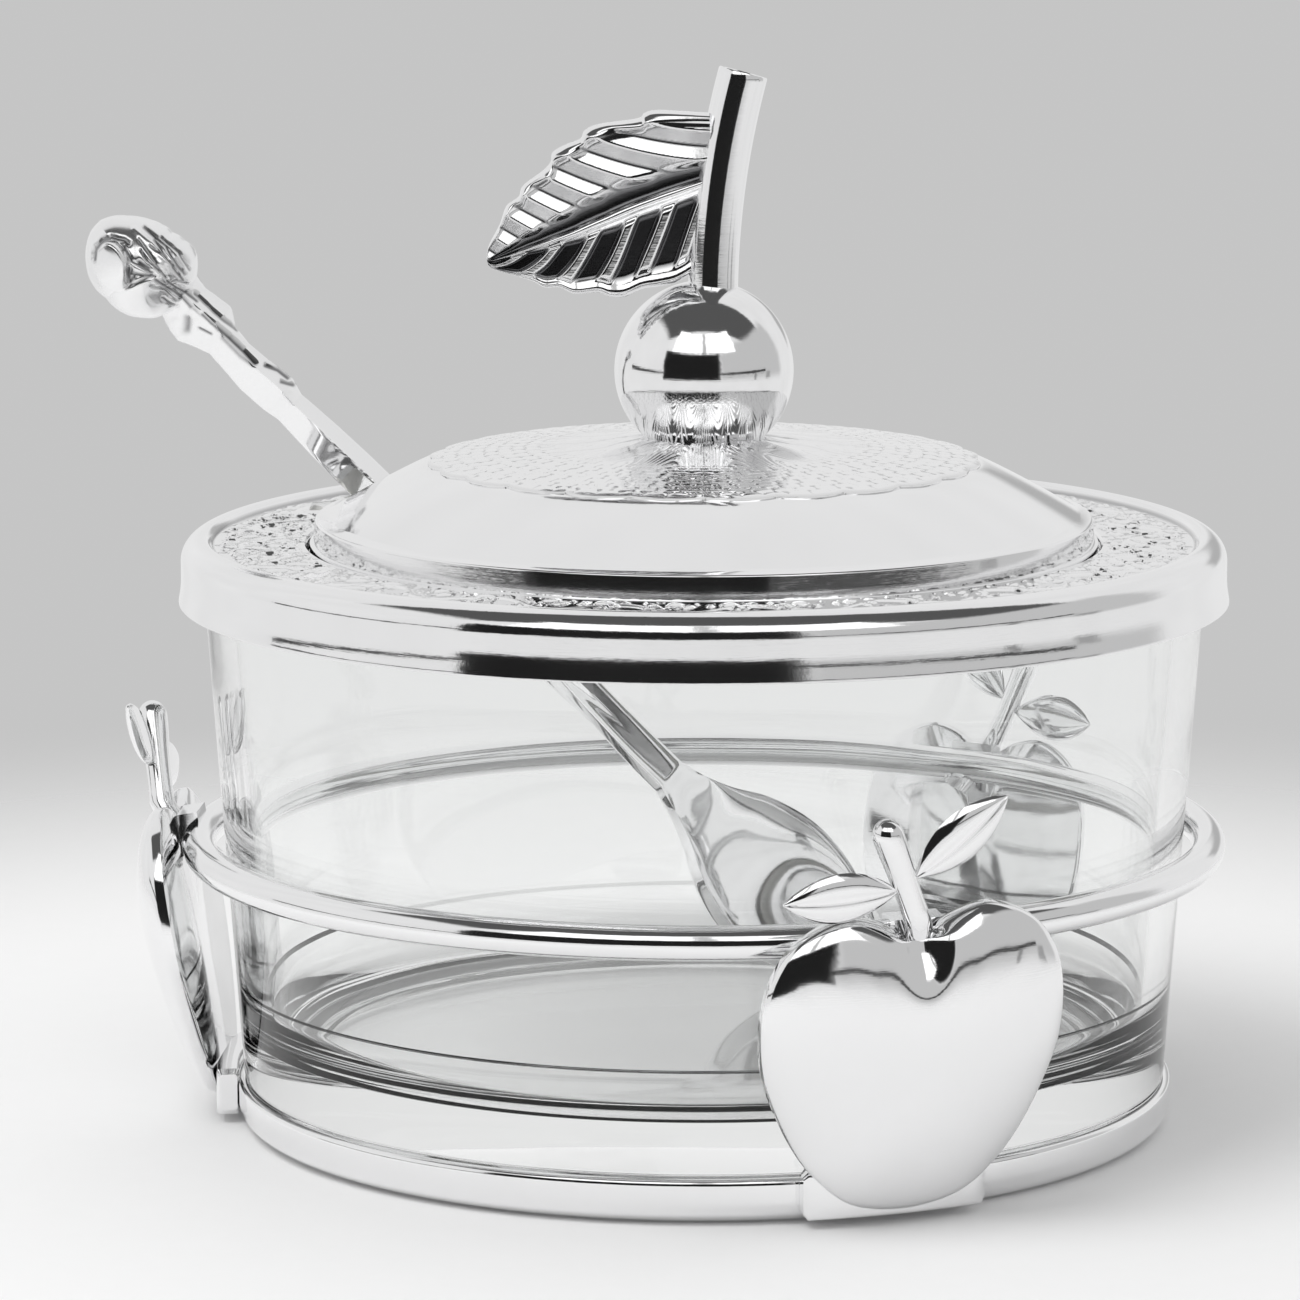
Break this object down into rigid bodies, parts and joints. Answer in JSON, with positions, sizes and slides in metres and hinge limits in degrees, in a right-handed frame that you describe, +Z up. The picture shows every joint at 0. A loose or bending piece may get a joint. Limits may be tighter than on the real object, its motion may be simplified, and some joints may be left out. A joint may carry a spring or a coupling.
{
  "type": "honey pot with hinged lid",
  "caption": "Clear glass honey pot in a silver wire stand with cast apples, with a collar, a hinged dome lid with a fruit knob, and an ornate spoon through a slot.",
  "frame": {"origin": "centre of the base ring's underside, on the table", "axes": "+Z up, -Y towards the front, +Y towards the lid's hinge, +X to the right seen from the front"},
  "size_m": [0.1265, 0.1191, 0.1155],
  "materials": {
    "stand_silver": "polished silver plate with cast relief",
    "clear_glass": "clear polished glass",
    "collar_silver": "polished silver plate with an embossed band",
    "lid_silver": "polished silver plate with an embossed rosette",
    "knob_silver": "polished silver plate",
    "spoon_silver": "polished silver plate with cast relief",
    "seal_rubber": "soft translucent white",
    "fastener_steel": "fine brushed"
  },
  "bodies": {
    "stand": {"base_ring": "stand_silver", "mid_ring": "stand_silver", "apple_front": "stand_silver", "apple_back": "stand_silver", "apple_left": "stand_silver", "saddle_front": "stand_silver", "saddle_back": "stand_silver", "saddle_left": "stand_silver", "lug_front": "stand_silver", "lug_back": "stand_silver", "lug_left": "stand_silver"},
    "glass": {"glass_bowl": "clear_glass"},
    "collar": {"collar_ring": "collar_silver", "rim_gasket": "seal_rubber", "collar_leaf": "collar_silver", "leaf_rivets": "fastener_steel", "hinge_pin": "fastener_steel"},
    "lid": {"lid_dome": "lid_silver", "rosette_plate": "lid_silver", "lid_leaf": "lid_silver", "knob_ball": "knob_silver", "knob_stem": "knob_silver", "knob_leaf": "knob_silver", "knob_screw": "fastener_steel", "knob_washer": "fastener_steel"},
    "spoon": {"spoon": "spoon_silver"}
  },
  "joints": [
    {"name": "glass_lift", "type": "slide", "parent": "stand", "child": "glass", "axis": [0, 0, 1], "range_m": [0, 0.05]},
    {"name": "collar_lift", "type": "slide", "parent": "glass", "child": "collar", "axis": [0, 0, 1], "range_m": [0, 0.06]},
    {"name": "lid_hinge", "type": "hinge", "parent": "collar", "child": "lid", "pos_m": [0, 0.047, 0.0666], "axis": [-1, 0, 0], "range_deg": [0, 100]},
    {"name": "spoon_draw", "type": "slide", "parent": "collar", "child": "spoon", "axis": [-0.7133, 0, 0.7009], "range_m": [0, 0.035]}
  ]
}
